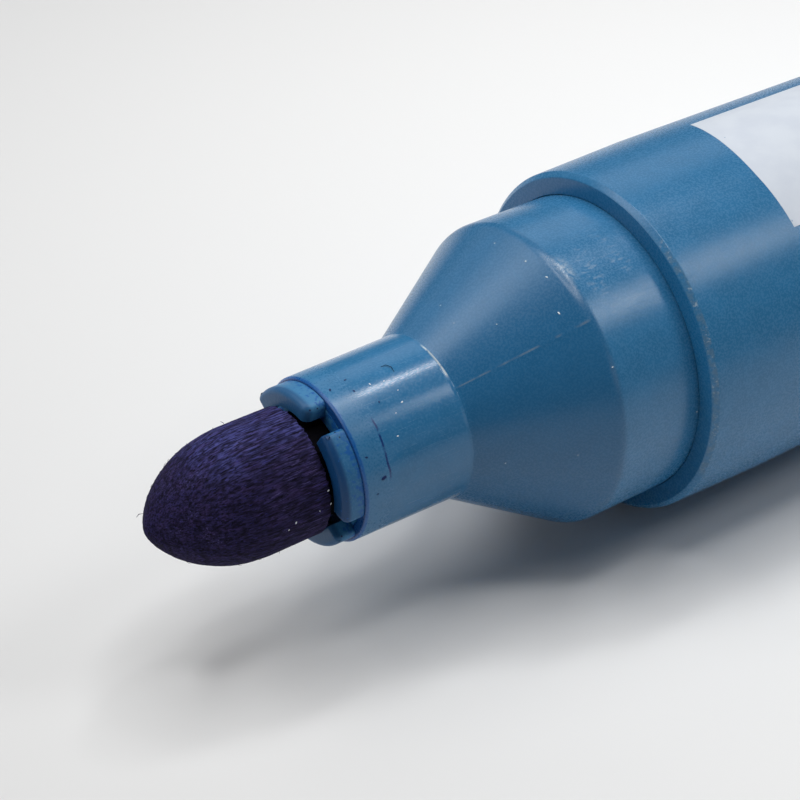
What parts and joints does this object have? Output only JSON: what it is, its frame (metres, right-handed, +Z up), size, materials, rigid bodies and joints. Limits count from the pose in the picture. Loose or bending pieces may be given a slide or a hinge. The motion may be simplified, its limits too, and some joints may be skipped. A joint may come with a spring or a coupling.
{
  "type": "permanent marker",
  "caption": "Permanent marker with a felt bullet nib in a slotted holder, stepped nozzle and collar, round barrel with a bare print panel, and a pull-off cap with clip posted on the tail.",
  "frame": {"origin": "on the floor, under the middle of the whole object as it lies on its side", "axes": "+X along the marker from the nib to the cap's closed end, +Z up"},
  "size_m": [0.1512, 0.0172, 0.0155],
  "materials": {
    "blue_plastic": "satin moulded plastic",
    "inked_felt": "dark ink-soaked felt",
    "inked_fibre": "ink-soaked fibre",
    "clear_film": "thin film",
    "natural_plastic": "uncoloured moulded plastic",
    "white_print": "printed ink"
  },
  "bodies": {
    "marker_body": {"nib": "inked_felt", "nib_holder": "blue_plastic", "front_section": "blue_plastic", "barrel": "blue_plastic", "ink_reservoir": "inked_fibre", "reservoir_wrap": "clear_film", "tail_plug": "blue_plastic"},
    "cap": {"cap_shell": "blue_plastic", "cap_inner_seal": "natural_plastic"}
  },
  "joints": [
    {"name": "cap_pull", "type": "slide", "parent": "marker_body", "child": "cap", "axis": [1, 0, 0], "range_m": [0, 0.015]}
  ]
}
